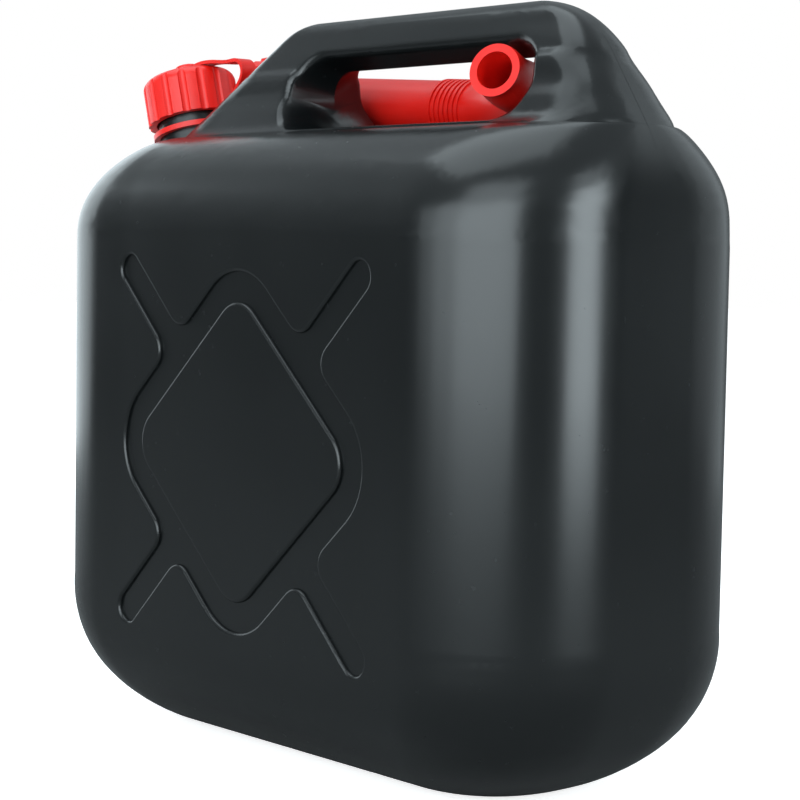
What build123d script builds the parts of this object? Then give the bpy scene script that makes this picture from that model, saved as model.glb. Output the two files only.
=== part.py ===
from build123d import *
from math import asin, atan2, cos, degrees, hypot, pi, radians, sin, sqrt, tan
import os

# Tank: blow-moulded, standing on its flat base, length along X and front face towards -Y
can_length = 320.0
can_width = 155.0
deck_height = 265.0
corner_radius = 59.0
end_base_radius = 66.0
side_base_radius = 55.0
left_shoulder_radius = 46.0
end_lean = 33.5
end_blend_radius = 48.0
wall = 2.4
round_steps = 6
corner_shrink_share = 0.35
corner_room_share = 0.9

# Handle: a leaning hollow arch that grows out of the shoulders and the plain end
handle_height = 50.0
handle_foot_half = 31.5
handle_foot_flare = 3.0
handle_foot_blend = 5.0
handle_top_radius = 10.3
handle_right_setback = 8.1
handle_right_round = 48.0
handle_left_setback = 41.8
handle_left_lean = 53.0
handle_left_round = 40.0
handle_root = 30.0
handle_level_shares = (0.0, 0.025, 0.05, 0.1, 0.2, 0.4, 0.58, 0.74, 0.86, 0.92, 0.96, 0.985, 0.998)
handle_corner_share = 0.78

# Finger window: narrowest at the mould's parting plane, drafted open to both sides
window_left_setback = 127.0
window_right_setback = 57.0
window_sill = 1.5
window_height = 26.5
window_waist_radius = 11.0
window_mouth_radius = 20.0
window_mouth_reach = 40.0
window_left_flare = 12.0
window_right_flare = 15.0
window_top_flare = 16.0
window_rim_radius = 3.5

# Sunk channels on both broad faces: a band round a diamond field, with four arms
arm_base_overlap = 1.0
arm_shoulder_gap = 12.0
arm_corner_gap = 20.0
diamond_side_gap = 6.4
diamond_end_gap = 11.0
diamond_corner_radius = 15.0
channel_width = 12.4
channel_depth = 1.7
channel_corner_radius = 9.0
channel_edge_radius = 1.5

# Neck: leans outwards over the left end
neck_setback = 26.0
neck_tilt = 16.0
neck_height = 27.8
neck_radius = 17.4
neck_bore_radius = 14.6
neck_root = 24.0
thread_radius = 18.2
thread_length = 14.0

# Screw cap with its grip grooves and the stud that holds the tether
cap_radius = 22.0
cap_height = 22.0
cap_top = 2.6
cap_edge_radius = 5.0
groove_count = 16
groove_radius = 2.2
groove_depth = 1.2
stud_stem_radius = 2.9
stud_head_radius = 5.6
stud_head = 3.2
stud_head_round = 1.0
seal_radius = 17.6
seal_thickness = 1.8

# Tether: ring under the cap, strap and eyelet
ring_level = 3.3
ring_thickness = 2.4
ring_width = 2.7
strap_thickness = 1.6
strap_width = 8.0
strap_reach = 24.0
strap_out_shares = (0.17, 0.5, 0.81, 0.98, 0.94, 0.62, 0.25, -0.08)
strap_up_shares = (0.085, 0.22, 0.37, 0.53, 0.70, 0.80, 0.90, 0.985)
ribbon_steps = 24
eyelet_radius = 6.0

# Spout: lies behind the handle on its nut and ribs, nozzle bent through the window
spout_setback = 41.7
spout_side_gap = 1.0
spout_lean = 3.6
tube_radius = 12.5
tube_wall = 1.8
nozzle_end_room = 16.1
flange_radius = 17.6
flange_thickness = 2.4
rib_radius = 13.3
rib_width = 1.4
rib_pitch = 3.0
rib_count = 7
nozzle_bend_radius = 80.0
nozzle_bend = 70.0
nozzle_rise = 4.8
nozzle_straight = 17.0
nozzle_tip_slope = 14.0
nozzle_tip_radius = 10.75
nozzle_tip_bore = 7.6
nozzle_steps = 10
tip_shares = (0.5, 1.0)
nut_radius = 21.5
nut_length = 19.0
nut_wall = 2.6
nut_edge_radius = 5.0

# Fits
run_gap = 0.08
loose_gap = 0.3
seat_gap = 0.05
overrun = 2.0
halving_steps = 30
rest_steps = 30
rim_shares = (0.0, 0.25, 0.5, 0.75)

half_length = can_length / 2
half_width = can_width / 2
side_shoulder_radius = half_width - handle_foot_half - handle_foot_flare
arm_low = side_base_radius - arm_base_overlap
arm_high = deck_height - side_shoulder_radius - arm_shoulder_gap
relief_height = (arm_low + arm_high) / 2
arm_end_z = (arm_high - arm_low) / 2
arm_end_x = half_length - corner_radius - arm_corner_gap
diamond_half_length = arm_end_x - diamond_side_gap
diamond_half_height = arm_end_z - diamond_end_gap
handle_top_centre = handle_height - handle_top_radius
handle_face_lean = degrees(
    atan2(handle_foot_half, handle_top_centre)
    - asin(handle_top_radius / hypot(handle_foot_half, handle_top_centre))
)
neck_angle = radians(neck_tilt)
neck_frame = Plane(
    origin=(neck_setback - half_length, 0, deck_height),
    x_dir=(cos(neck_angle), 0, sin(neck_angle)),
    z_dir=(-sin(neck_angle), 0, cos(neck_angle)),
)
cap_bore_radius = thread_radius + run_gap
cap_top_level = neck_height + seat_gap + seal_thickness + seat_gap + cap_top
strap_level = cap_top_level + loose_gap + strap_thickness / 2
spout_row = handle_foot_half + tube_radius + spout_side_gap
nozzle_reach = nozzle_bend_radius * sin(radians(nozzle_bend))
tube_length = can_length - window_right_setback - spout_setback - nozzle_end_room - nozzle_reach


def round_in(radius, rise):
    """How far in a quarter round stands at a height above the level where it starts."""
    reach = max(radius - rise, 0)
    return radius - sqrt(radius ** 2 - reach ** 2)


def end_in(level, inset):
    """How far in the plain end stands: upright, then round into its lean."""
    angle = radians(end_lean)
    meeting = deck_height - handle_right_setback / tan(angle)
    rise = level - meeting + end_blend_radius * tan(angle / 2)
    radius = end_blend_radius - inset
    if rise <= 0:
        return 0
    if rise <= radius * sin(angle):
        return radius - sqrt(radius ** 2 - rise ** 2)
    return radius * (1 - cos(angle)) + (rise - radius * sin(angle)) * tan(angle)


def tank_outline(level, inset):
    """How far in both ends stand at a level, with the half width and the corner radius."""
    rise = level - inset
    drop = deck_height - inset - level
    base_in = round_in(end_base_radius - inset, rise)
    left_in = max(base_in, round_in(left_shoulder_radius - inset, drop))
    right_in = max(base_in, end_in(level, inset))
    side_in = max(round_in(side_base_radius - inset, rise), round_in(side_shoulder_radius - inset, drop))
    half = half_width - inset - side_in
    corner = corner_radius - inset - corner_shrink_share * (left_in + right_in) / 2
    return left_in, right_in, half, min(corner, corner_room_share * half)


def tank_section(level, inset):
    left_in, right_in, half, corner = tank_outline(level, inset)
    outline = RectangleRounded(can_length - 2 * inset - left_in - right_in, 2 * half, corner)
    return Pos((left_in - right_in) / 2, 0, level) * outline


def round_levels(radius):
    return [radius * (1 - cos(pi / 2 * step / round_steps)) for step in range(round_steps + 1)]


def tank_block(inset):
    base = [inset + rise for rise in round_levels(end_base_radius - inset)]
    top = [deck_height - inset - drop for drop in reversed(round_levels(left_shoulder_radius - inset))]
    block = extrude(tank_section(base[-1], inset), top[0] - base[-1])
    block += loft([tank_section(level, inset) for level in base])
    return block + loft([tank_section(level, inset) for level in top])


def side_reach(level, foot, lean, radius, top):
    """How far out a leaning side stands at a level: straight, then round into the top."""
    angle = radians(lean)
    centre = top - radius
    if level <= centre + radius * sin(angle):
        return foot - level * tan(angle)
    middle = foot - centre * tan(angle) - radius / cos(angle)
    return middle + sqrt(radius ** 2 - (level - centre) ** 2)


def handle_section(level, inset):
    top = handle_height - inset
    face_foot = handle_foot_half - inset / cos(radians(handle_face_lean))
    right_foot = half_length - end_in(deck_height, 0) - inset / cos(radians(end_lean))
    left_foot = half_length - handle_left_setback - inset / cos(radians(handle_left_lean))
    half = side_reach(level, face_foot, handle_face_lean, handle_top_radius - inset, top)
    foot_share = max(1 - level / handle_foot_blend, 0) ** 2
    half += handle_foot_flare * foot_share
    corner = (handle_corner_share + (corner_room_share - handle_corner_share) * foot_share) * half
    right = side_reach(level, right_foot, end_lean, handle_right_round - inset, top)
    left = side_reach(level, left_foot, handle_left_lean, handle_left_round - inset, top)
    outline = RectangleRounded(right + left, 2 * half, corner)
    return Pos((right - left) / 2, 0, deck_height + level) * outline


def handle_block(inset):
    levels = [share * (handle_height - inset) for share in handle_level_shares]
    arch = loft([handle_section(level, inset) for level in levels])
    root = extrude(handle_section(0, inset), -handle_root)
    if inset == 0:
        root &= Pos(-can_length / 2, 0, deck_height) * Box(can_length, can_width, 2 * handle_root)
    return arch + root


def window_section(flare, reach, radius, inset):
    left = window_left_setback - half_length - inset
    right = half_length - window_right_setback + inset
    left = left - flare * window_left_flare
    right = right + flare * window_right_flare
    low = deck_height + window_sill - inset
    high = deck_height + window_sill + window_height + flare * window_top_flare + inset
    outline = RectangleRounded(right - left, high - low, radius + inset)
    return Plane.XZ.offset(reach) * Pos((left + right) / 2, (low + high) / 2) * outline


def window_hole(inset):
    waist = window_section(0, 0, window_waist_radius, inset)
    front = window_section(1, window_mouth_reach, window_mouth_radius, inset)
    rear = window_section(1, -window_mouth_reach, window_mouth_radius, inset)
    return loft([waist, front], ruled=True) + loft([waist, rear], ruled=True)


def diamond(spread, radius):
    reach = hypot(diamond_half_length, diamond_half_height)
    distance = diamond_half_length * diamond_half_height / reach
    share = (distance + spread) / distance
    length = share * diamond_half_length
    height = share * diamond_half_height
    outline = Polygon((length, 0), (0, height), (-length, 0), (0, -height))
    return fillet(outline.vertices(), radius)


def channel_sketch(spread):
    """The band round the diamond with its four arms, wider by a spread on every side."""
    angle = atan2(arm_end_z, arm_end_x)
    arm_length = 2 * (hypot(arm_end_x, arm_end_z) + spread)
    width = channel_width + 2 * spread
    sketch = diamond(channel_width + spread, diamond_corner_radius + channel_width + spread)
    for turn in (degrees(angle), -degrees(angle)):
        sketch += Rot(0, 0, turn) * SlotOverall(arm_length, width)
    corners = []
    for corner in sketch.vertices():
        aside = abs(abs(corner.X) * sin(angle) - abs(corner.Y) * cos(angle))
        if aside < width and hypot(corner.X, corner.Y) < arm_length / 2 - width:
            corners.append(corner)
    sketch = fillet(corners, max(channel_corner_radius - spread, channel_edge_radius))
    return sketch - diamond(-spread, max(diamond_corner_radius - spread, channel_edge_radius))


def channels(spread, depth, side):
    face = Plane.XZ.offset(side * (half_width + overrun))
    return extrude(face * Pos(0, relief_height) * channel_sketch(spread), depth + overrun, dir=(0, side, 0))


def grooved(block, side):
    cut = channels(0, channel_depth, side)
    result = block - cut
    return fillet(new_edges(block, cut, combined=result), channel_edge_radius)


def neck_shell(radius, low, high):
    return neck_frame * Pos(0, 0, low) * extrude(Circle(radius), high - low)


def outer_form():
    return grooved(grooved(tank_block(0), 1), -1) + handle_block(0)


def windowed(form):
    hole = window_hole(0)
    result = form - hole
    above_sill = deck_height + window_sill + overrun
    rim = [edge for edge in new_edges(form, hole, combined=result) if edge.center().Z > above_sill]
    return fillet(rim, window_rim_radius)


def can_body():
    body = windowed(outer_form()) + neck_shell(neck_radius, -neck_root, neck_height)
    body += neck_shell(thread_radius, neck_height - thread_length, neck_height)
    hollow = tank_block(wall) + handle_block(wall) - window_hole(wall)
    for side in (1, -1):
        hollow -= channels(wall, channel_depth + wall, side)
    hollow += neck_shell(neck_bore_radius, -neck_root, neck_height + overrun)
    return body - hollow


def gripped(radius, length, bore, end, edge_radius):
    """A grooved round skirt, open at the bottom and closed by a wall at the top."""
    skirt = extrude(Circle(radius), length)
    skirt = fillet(skirt.faces().sort_by(Axis.Z)[-1].edges(), edge_radius)
    skirt -= Pos(0, 0, -end) * extrude(Circle(bore), length)
    groove = extrude(Circle(groove_radius), length + overrun)
    return skirt - PolarLocations(radius + groove_radius - groove_depth, groove_count) * groove


def screw_cap():
    skirt = gripped(cap_radius, cap_height, cap_bore_radius, cap_top, cap_edge_radius)
    stem = strap_thickness + 2 * loose_gap
    head = extrude(Circle(stud_head_radius), stud_head)
    head = fillet(head.faces().sort_by(Axis.Z)[-1].edges(), stud_head_round)
    cap = Pos(0, 0, cap_top_level - cap_height) * skirt
    cap += Pos(0, 0, cap_top_level) * extrude(Circle(stud_stem_radius), stem)
    cap += Pos(0, 0, cap_top_level + stem) * head
    return neck_frame * cap


def cap_seal():
    return neck_shell(seal_radius, neck_height + seat_gap, neck_height + seat_gap + seal_thickness)


def ribbon(points, thickness):
    """A strip of even thickness along a smooth line through the points."""
    line = Spline(points)
    sides = []
    for offset in (thickness / 2, -thickness / 2):
        side = []
        for step in range(ribbon_steps + 1):
            share = step / ribbon_steps
            along = line % share
            side.append(line @ share + Vector(-along.Y, along.X) * offset)
        sides.append(side)
    upper = Spline(sides[0])
    lower = Spline(sides[1])
    return make_face(upper + lower + Line(upper @ 0, lower @ 0) + Line(upper @ 1, lower @ 1))


def cap_tether():
    inner = neck_radius + loose_gap
    middle = ring_level + ring_thickness / 2
    ring = Circle(inner + ring_width) - Circle(inner)
    tether = Pos(0, 0, ring_level) * extrude(ring, ring_thickness)
    points = [(inner + ring_width / 2, middle)]
    for out, up in zip(strap_out_shares, strap_up_shares):
        points.append((cap_radius + out * strap_reach, middle + up * (strap_level - middle)))
    points.append((stud_head_radius, strap_level))
    strap = Plane.XZ * ribbon(points, strap_thickness)
    tether += extrude(strap, strap_width / 2, dir=(0, 1, 0), both=True)
    under = strap_level - strap_thickness / 2
    tether += Pos(0, 0, under) * extrude(Circle(eyelet_radius), strap_thickness)
    tether -= Pos(0, 0, under - overrun) * extrude(Circle(stud_stem_radius + loose_gap), 2 * overrun + strap_thickness)
    return neck_frame * tether


def shoulder_level(x, y):
    """How high the tank stands at a place on its shoulder, found by halving."""
    low = deck_height - left_shoulder_radius
    high = deck_height
    for step in range(halving_steps):
        middle = (low + high) / 2
        left_in, right_in, half, corner = tank_outline(middle, 0)
        reach = half_length - (left_in + right_in) / 2 - corner
        over_x = max(abs(x - (left_in - right_in) / 2) - reach, 0)
        over_y = max(abs(y) - half + corner, 0)
        if hypot(over_x, over_y) < corner:
            low = middle
        else:
            high = middle
    return low


def rest_level(x, radius):
    """The level where a ring round the spout's axis comes to lie on the shoulder."""
    levels = []
    for step in range(-rest_steps, rest_steps + 1):
        turn = pi / 2 * step / rest_steps
        levels.append(shoulder_level(x, spout_row + radius * sin(turn)) + radius * cos(turn))
    return max(levels) + loose_gap


def stored_frame():
    """The spout's axis as it is stored: last rib on the shoulder, nut clear of it."""
    start = spout_setback - half_length
    rib_level = rest_level(start + tube_length, rib_radius)
    levels = [rib_level + tube_length * tan(radians(spout_lean))]
    for share in rim_shares:
        turn = pi / 2 * share
        x = start - nut_edge_radius * (1 - sin(turn))
        levels.append(rest_level(x, nut_radius - nut_edge_radius * (1 - cos(turn))))
    nut_level = max(levels)
    tilt = atan2(nut_level - rib_level, tube_length)
    return Plane(origin=(start, spout_row, nut_level), x_dir=(0, 1, 0), z_dir=(cos(tilt), 0, -sin(tilt)))


spout_frame = stored_frame()


def nozzle_path():
    """Points along the bent nozzle with the way it heads there."""
    start = spout_frame.origin + spout_frame.z_dir * tube_length
    points = []
    for step in range(nozzle_steps + 1):
        share = step / nozzle_steps
        angle = radians(share * nozzle_bend)
        across = nozzle_bend_radius * (cos(angle) - 1)
        points.append(start + Vector(nozzle_bend_radius * sin(angle), across, nozzle_rise * share ** 2))
    bend = radians(nozzle_bend)
    slope = radians(nozzle_tip_slope)
    tip_way = Vector(cos(bend) * cos(slope), -sin(bend) * cos(slope), sin(slope))
    points += [points[-1] + tip_way * (share * nozzle_straight) for share in tip_shares]
    ways = [spout_frame.z_dir]
    ways += [(after - before).normalized() for before, after in zip(points, points[2:])]
    return list(zip(points, ways + [tip_way]))


def nozzle(start_radius, tip_radius):
    stations = nozzle_path()
    rings = []
    for step, (point, way) in enumerate(stations):
        share = step / (len(stations) - 1)
        frame = Plane(origin=point, x_dir=(-way.Y, way.X, 0), z_dir=way)
        rings.append(frame * Circle(start_radius + share * (tip_radius - start_radius)))
    return loft(rings)


def along_tube(radius, low, high):
    return spout_frame * Pos(0, 0, low) * extrude(Circle(radius), high - low)


def pour_spout():
    seat = -nut_wall - seat_gap
    foot = seat - flange_thickness
    spout = along_tube(tube_radius, foot, tube_length) + along_tube(flange_radius, foot, seat)
    for step in range(rib_count):
        end = tube_length - step * rib_pitch
        spout += along_tube(rib_radius, end - rib_width, end)
    spout += nozzle(tube_radius, nozzle_tip_radius)
    bore = tube_radius - tube_wall
    spout -= along_tube(bore, foot - overrun, tube_length)
    return spout - nozzle(bore, nozzle_tip_bore)


def spout_nut():
    nut = gripped(nut_radius, nut_length, cap_bore_radius, nut_wall, nut_edge_radius)
    nut -= extrude(Circle(tube_radius + run_gap), nut_length + overrun)
    return spout_frame * Pos(0, 0, -nut_length) * nut


parts = {
    "can_body": can_body,
    "screw_cap": screw_cap,
    "cap_seal": cap_seal,
    "cap_tether": cap_tether,
    "pour_spout": pour_spout,
    "spout_nut": spout_nut,
}
os.makedirs("parts", exist_ok=True)
for name, make in parts.items():
    export_step(make(), f"parts/{name}.step")
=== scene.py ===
from math import cos, radians, sin

import bmesh
import bpy
from mathutils import Matrix, Vector
from mathutils.bvhtree import BVHTree


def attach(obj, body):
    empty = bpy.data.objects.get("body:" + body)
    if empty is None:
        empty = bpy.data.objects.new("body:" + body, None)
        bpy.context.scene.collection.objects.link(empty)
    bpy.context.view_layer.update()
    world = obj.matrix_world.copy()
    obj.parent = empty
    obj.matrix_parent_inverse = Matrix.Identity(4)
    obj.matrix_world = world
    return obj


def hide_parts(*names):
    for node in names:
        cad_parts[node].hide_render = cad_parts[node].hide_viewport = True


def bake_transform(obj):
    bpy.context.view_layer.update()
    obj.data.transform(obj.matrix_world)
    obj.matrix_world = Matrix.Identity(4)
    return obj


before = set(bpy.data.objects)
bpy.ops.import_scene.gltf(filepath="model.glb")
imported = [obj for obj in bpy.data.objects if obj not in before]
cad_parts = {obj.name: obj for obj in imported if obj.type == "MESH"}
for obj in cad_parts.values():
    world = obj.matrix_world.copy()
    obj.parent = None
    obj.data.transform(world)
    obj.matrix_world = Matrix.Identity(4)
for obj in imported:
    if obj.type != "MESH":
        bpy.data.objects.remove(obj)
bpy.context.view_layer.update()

MM = 0.001

# Camera: standing off the can's plain end, looking slightly down
camera_azimuth = 48.606
camera_pitch = 4.026
camera_roll = 0.991
camera_place = Vector((0.70546, -0.60954, 0.21697))
camera_lens = 97.327
sensor_width = 36.0

# Parting line: a fine ridge where the two mould halves met
seam_half_width = 0.32 * MM
seam_height = 0.09 * MM
seam_sink = 0.05 * MM
seam_step = 2.0 * MM
seam_low = 256 * MM
seam_high = 312.5 * MM
seam_clear = 300 * MM

# Base round: its shading is eased where it meets the wall, at the corners only
ease_low = 58.5 * MM
ease_high = 68.5 * MM
ease_height = 0.36 * MM
ease_aside_from = 78 * MM
ease_aside_to = 104 * MM

# Floor
floor_reach = 6.0
floor_drop = 0.2 * MM

# Light panels round the can: two ends on the floor, low edge, high edge and brightness
standing_panels = {
    "front_panel": ((0.96, -0.80), (0.12, -1.20), 0.065, 0.66, 15.5),
    "front_panel_top": ((0.96, -0.80), (0.12, -1.20), 0.66, 1.30, 8.0),
    "front_panel_fade": ((0.10, -1.22), (-0.28, -1.34), 0.07, 0.76, 10.0),
    "front_panel_edge": ((-0.30, -1.35), (-0.70, -1.42), 0.10, 0.80, 4.6),
    "end_panel": ((1.03, -0.11), (0.98, 0.30), 0.045, 0.56, 24.5),
    "end_panel_top": ((1.03, -0.11), (0.98, 0.30), 0.56, 0.95, 6.5),
    "left_panel": ((-1.46, -0.60), (-1.35, 0.79), 0.0, 1.0, 5.4),
    "rear_panel_edge": ((0.88, 0.89), (0.47, 1.16), 0.05, 1.4, 1.7),
    "rear_panel": ((0.47, 1.16), (-0.22, 1.23), 0.0, 1.4, 1.6),
}
top_panel_place = (-0.3, -0.2, 1.6)
top_panel_way = (0.1, 0.1, -1)
top_panel_size = 1.4
top_panel_brightness = 6.0
cool_light = (0.88, 1.0, 1.05)

# Surroundings: dark low down, paler above, and darkest off the can's plain end
low_shade = (0.16, 0.18, 0.19, 1)
high_shade = (0.46, 0.52, 0.55, 1)
dark_shade = (0.05, 0.055, 0.06, 1)
dark_way = (0.74, 0.643, -0.2)

smooth_angle = radians(32)
weld_distance = 0.001 * MM


class Wire:
    """A shader socket that adds its own maths nodes when it is used in a sum."""

    def __init__(self, sheet, socket):
        self.sheet = sheet
        self.socket = socket

    def maths(self, operation, first, second=0.0):
        return self.sheet.node("ShaderNodeMath", {"operation": operation}, {0: first, 1: second})

    def __add__(self, other):
        return self.maths("ADD", self, other)

    def __sub__(self, other):
        return self.maths("SUBTRACT", self, other)

    def __rsub__(self, other):
        return self.maths("SUBTRACT", other, self)

    def __mul__(self, other):
        return self.maths("MULTIPLY", self, other)

    def __abs__(self):
        return self.maths("ABSOLUTE", self)

    __radd__ = __add__
    __rmul__ = __mul__


class Sheet:
    """The nodes of one material or of the world."""

    def __init__(self, owner):
        self.owner = owner
        owner.use_nodes = True
        self.tree = owner.node_tree
        self.tree.nodes.clear()

    def node(self, kind, settings=None, inputs=None, output=0):
        made = self.tree.nodes.new(kind)
        for key, value in (settings or {}).items():
            setattr(made, key, value)
        for key, value in (inputs or {}).items():
            if isinstance(value, Wire):
                self.tree.links.new(value.socket, made.inputs[key])
            else:
                made.inputs[key].default_value = value
        return Wire(self, made.outputs[output]) if made.outputs else made

    def place(self):
        return self.node("ShaderNodeTexCoord", output="Object")

    def noise(self, scale, detail=2.0, roughness=0.5):
        inputs = {"Vector": self.place(), "Scale": scale, "Detail": detail, "Roughness": roughness}
        return self.node("ShaderNodeTexNoise", None, inputs)

    def ranged(self, value, low, high, to_low=0.0, to_high=1.0):
        inputs = {"Value": value, "From Min": low, "From Max": high,
                  "To Min": to_low, "To Max": to_high}
        return self.node("ShaderNodeMapRange", {"interpolation_type": "SMOOTHSTEP"}, inputs)

    def mixed(self, share, first, second):
        """A colour between two colours."""
        inputs = {0: share, 6: first, 7: second}
        return self.node("ShaderNodeMix", {"data_type": "RGBA"}, inputs, output=2)

    def along(self, axis):
        """How far a point lies along one axis of its piece."""
        return self.node("ShaderNodeSeparateXYZ", None, {0: self.place()}, output=axis)

    def bump(self, height, distance, strength, under=None):
        inputs = {"Height": height, "Distance": distance, "Strength": strength}
        if under:
            inputs["Normal"] = under
        return self.node("ShaderNodeBump", None, inputs)

    def surface(self, **inputs):
        named = {key.replace("_", " "): value for key, value in inputs.items()}
        shader = self.node("ShaderNodeBsdfPrincipled", None, named)
        self.node("ShaderNodeOutputMaterial", None, {"Surface": shader})
        return self.owner


def black_polyethylene():
    sheet = Sheet(bpy.data.materials.new("black_polyethylene"))
    cloud = sheet.noise(14.0, 3.0)
    dust = sheet.ranged(sheet.noise(260.0, 3.0, 0.65), 0.66, 0.78)
    colour = sheet.mixed(cloud, (0.0022, 0.0028, 0.0030, 1), (0.0032, 0.0040, 0.0042, 1))
    colour = sheet.mixed(dust * 0.3, colour, (0.014, 0.016, 0.017, 1))
    roughness = sheet.ranged(cloud, 0.3, 0.7, 0.235, 0.265) + dust * 0.05
    at_corner = sheet.ranged(abs(sheet.along("X")), ease_aside_from, ease_aside_to)
    eased = sheet.ranged(sheet.along("Z"), ease_low, ease_high) * at_corner
    base_ease = sheet.bump(eased, ease_height, 1.0)
    grain = sheet.bump(sheet.noise(2600.0, 2.0, 0.6), 0.02 * MM, 0.2, base_ease)
    return sheet.surface(Base_Color=colour, Roughness=roughness, Normal=grain, IOR=1.5)


def red_polyethylene():
    sheet = Sheet(bpy.data.materials.new("red_polyethylene"))
    cloud = sheet.noise(60.0, 2.0)
    colour = sheet.mixed(cloud, (0.68, 0.006, 0.003, 1), (0.78, 0.011, 0.005, 1))
    roughness = sheet.ranged(cloud, 0.3, 0.7, 0.34, 0.40)
    grain = sheet.bump(sheet.noise(1800.0, 2.0, 0.6), 0.015 * MM, 0.25)
    return sheet.surface(Base_Color=colour, Roughness=roughness, Normal=grain, IOR=1.5)


def seal_rubber():
    sheet = Sheet(bpy.data.materials.new("seal_rubber"))
    grain = sheet.noise(900.0, 2.0)
    colour = sheet.mixed(grain, (0.012, 0.012, 0.012, 1), (0.022, 0.022, 0.022, 1))
    return sheet.surface(Base_Color=colour, Roughness=0.75)


def soften(piece, material):
    """Smooth shading, with creases kept, and the material."""
    piece.data.polygons.foreach_set("use_smooth", [True] * len(piece.data.polygons))
    weld = piece.modifiers.new("weld", "WELD")
    weld.merge_threshold = weld_distance
    split = piece.modifiers.new("creases", "EDGE_SPLIT")
    split.split_angle = smooth_angle
    weigh = piece.modifiers.new("flats", "WEIGHTED_NORMAL")
    weigh.keep_sharp = True
    piece.data.materials.clear()
    piece.data.materials.append(material)


def add_piece(name, shape, material):
    mesh = bpy.data.meshes.new(name)
    shape.to_mesh(mesh)
    shape.free()
    piece = bpy.data.objects.new(name, mesh)
    bpy.context.scene.collection.objects.link(piece)
    soften(piece, material)
    return piece


def make_tether(material):
    """The tether again, as a welded piece of its own in place of the CAD tether, which is hidden.
    """
    shape = bmesh.new()
    shape.from_mesh(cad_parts["cap_tether"].data)
    bmesh.ops.remove_doubles(shape, verts=shape.verts, dist=weld_distance)
    tether = add_piece("tether_strap", shape, material)
    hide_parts("cap_tether")
    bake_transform(tether)


def seam_line(tree, start, end, way):
    """Points and normals on the can where rays from a straight line meet it."""
    count = int((end - start).length / seam_step)
    found = []
    for step in range(count + 1):
        origin = start.lerp(end, step / count)
        point, normal, index, distance = tree.ray_cast(origin, way)
        if point:
            found.append((point, normal))
    return found


def make_seam(name, tree, start, end, way, material):
    """A fine ridge along the parting plane, bridged from ring to ring."""
    profile = ((-seam_half_width, -seam_sink), (-seam_half_width / 2, seam_height),
               (seam_half_width / 2, seam_height), (seam_half_width, -seam_sink))
    across = Vector((0, 1, 0))
    shape = bmesh.new()
    rings = []
    for point, normal in seam_line(tree, start, end, way):
        corners = [shape.verts.new(point + across * side + normal * out) for side, out in profile]
        rings.append([shape.edges.new(pair) for pair in zip(corners, corners[1:] + corners[:1])])
    for before, after in zip(rings, rings[1:]):
        bmesh.ops.bridge_loops(shape, edges=before + after)
    for ring in (rings[0], rings[-1]):
        bmesh.ops.edgeloop_fill(shape, edges=ring)
    bmesh.ops.recalc_face_normals(shape, faces=shape.faces)
    seam = add_piece(name, shape, material)
    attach(seam, "can")


def make_floor():
    shape = bmesh.new()
    bmesh.ops.create_grid(shape, x_segments=1, y_segments=1, size=floor_reach)
    bmesh.ops.translate(shape, verts=shape.verts, vec=(0, 0, -floor_drop))
    mesh = bpy.data.meshes.new("floor")
    shape.to_mesh(mesh)
    shape.free()
    floor = bpy.data.objects.new("floor", mesh)
    bpy.context.scene.collection.objects.link(floor)
    sheet = Sheet(bpy.data.materials.new("pale_floor"))
    mirrored = sheet.node("ShaderNodeLightPath", output="Is Glossy Ray")
    seen = sheet.node("ShaderNodeLightPath", output="Is Camera Ray")
    colour = sheet.mixed(mirrored, (0.8, 0.8, 0.8, 1), (0.22, 0.22, 0.22, 1))
    glow = sheet.mixed(seen, (0, 0, 0, 1), (1, 1, 1, 1))
    mesh.materials.append(sheet.surface(
        Base_Color=colour, Roughness=0.9, Emission_Color=glow, Emission_Strength=0.8))


def make_camera():
    turn = radians(camera_azimuth)
    dip = radians(camera_pitch)
    roll = radians(camera_roll)
    back = Vector((sin(turn), -cos(turn), 0))
    forward = -back * cos(dip) - Vector((0, 0, sin(dip)))
    right = Vector((cos(turn), sin(turn), 0))
    up = right.cross(forward)
    rolled_right = right * cos(roll) + up * sin(roll)
    rolled_up = up * cos(roll) - right * sin(roll)
    axes = Matrix((rolled_right, rolled_up, -forward)).transposed().to_4x4()
    data = bpy.data.cameras.new("camera")
    data.lens = camera_lens
    data.sensor_width = sensor_width
    data.clip_start = 0.01
    camera = bpy.data.objects.new("camera", data)
    camera.matrix_world = Matrix.Translation(camera_place) @ axes
    bpy.context.scene.collection.objects.link(camera)
    bpy.context.scene.camera = camera


def make_panel(name, middle, way, width, height, brightness):
    """A soft light panel at a place, facing a way, with its brightness per area."""
    data = bpy.data.lights.new(name, "AREA")
    data.shape = "RECTANGLE"
    data.size = width
    data.size_y = height
    data.energy = brightness * width * height
    data.color = cool_light
    lamp = bpy.data.objects.new(name, data)
    lamp.location = middle
    lamp.rotation_euler = Vector(way).to_track_quat("-Z", "Y").to_euler()
    bpy.context.scene.collection.objects.link(lamp)


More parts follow.
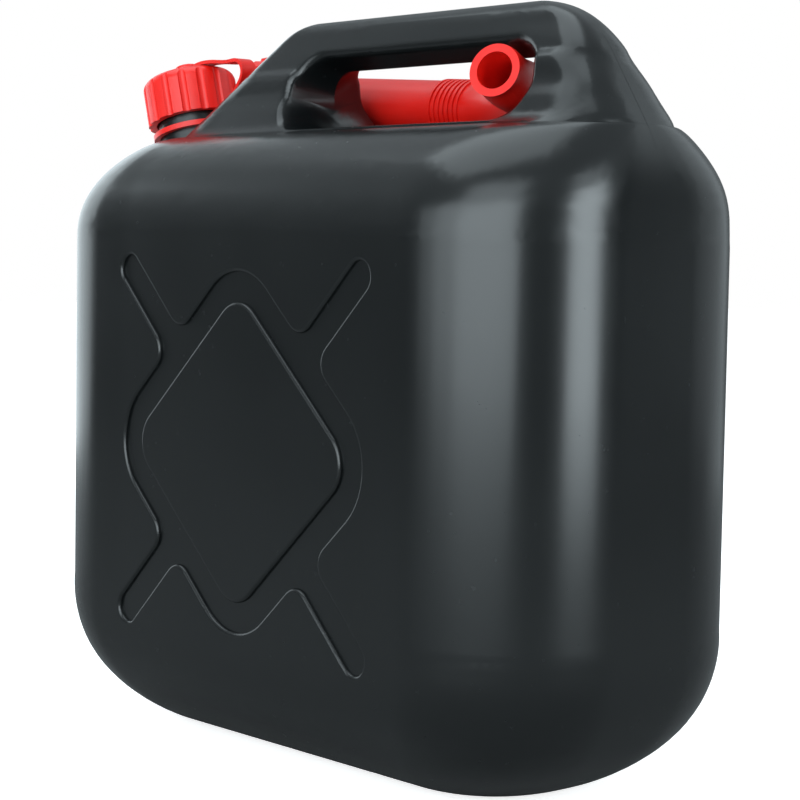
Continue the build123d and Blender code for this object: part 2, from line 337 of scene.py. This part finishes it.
def make_standing_panel(name, one_end, other_end, low, high, brightness):
    """An upright panel between two places on the floor, facing the can."""
    one = Vector((*one_end, 0))
    other = Vector((*other_end, 0))
    middle = (one + other) / 2
    along = (other - one).normalized()
    way = along.cross(Vector((0, 0, 1)))
    if way.dot(middle) > 0:
        way = -way
    middle.z = (low + high) / 2
    make_panel(name, middle, way, (other - one).length, high - low, brightness)


def make_world():
    world = bpy.data.worlds.new("studio")
    bpy.context.scene.world = world
    sheet = Sheet(world)
    facing = sheet.node("ShaderNodeTexCoord", output="Generated")
    height = sheet.node("ShaderNodeSeparateXYZ", None, {0: facing}, output="Z")
    shade = sheet.ranged(height, -0.05, 0.75)
    colour = sheet.mixed(shade, low_shade, high_shade)
    sides = {0: facing, 1: dark_way}
    beside = sheet.node("ShaderNodeVectorMath", {"operation": "DOT_PRODUCT"}, sides, output="Value")
    colour = sheet.mixed(sheet.ranged(beside, 0.74, 0.98), colour, dark_shade)
    seen = sheet.node("ShaderNodeLightPath", output="Is Camera Ray")
    colour = sheet.mixed(seen, colour, (1, 1, 1, 1))
    sky = sheet.node("ShaderNodeBackground", None, {"Color": colour, "Strength": 1.0})
    sheet.node("ShaderNodeOutputWorld", None, {"Surface": sky})


def main():
    bpy.context.scene.view_settings.view_transform = "Standard"
    black = black_polyethylene()
    red = red_polyethylene()
    soften(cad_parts["can_body"], black)
    soften(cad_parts["cap_seal"], seal_rubber())
    for name in ("screw_cap", "cap_tether", "pour_spout", "spout_nut"):
        soften(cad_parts[name], red)
    make_tether(red)
    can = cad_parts["can_body"].data
    can.calc_loop_triangles()
    faces = [tuple(triangle.vertices) for triangle in can.loop_triangles]
    tree = BVHTree.FromPolygons([vertex.co for vertex in can.vertices], faces)
    seam_start = Vector((seam_clear, 0, seam_low))
    seam_end = Vector((seam_clear, 0, seam_high))
    make_seam("seam_end", tree, seam_start, seam_end, Vector((-1, 0, 0)), black)
    make_floor()
    make_camera()
    for name, panel in standing_panels.items():
        make_standing_panel(name, *panel)
    make_panel("top_panel", top_panel_place, top_panel_way,
               top_panel_size, top_panel_size, top_panel_brightness)
    make_world()


main()
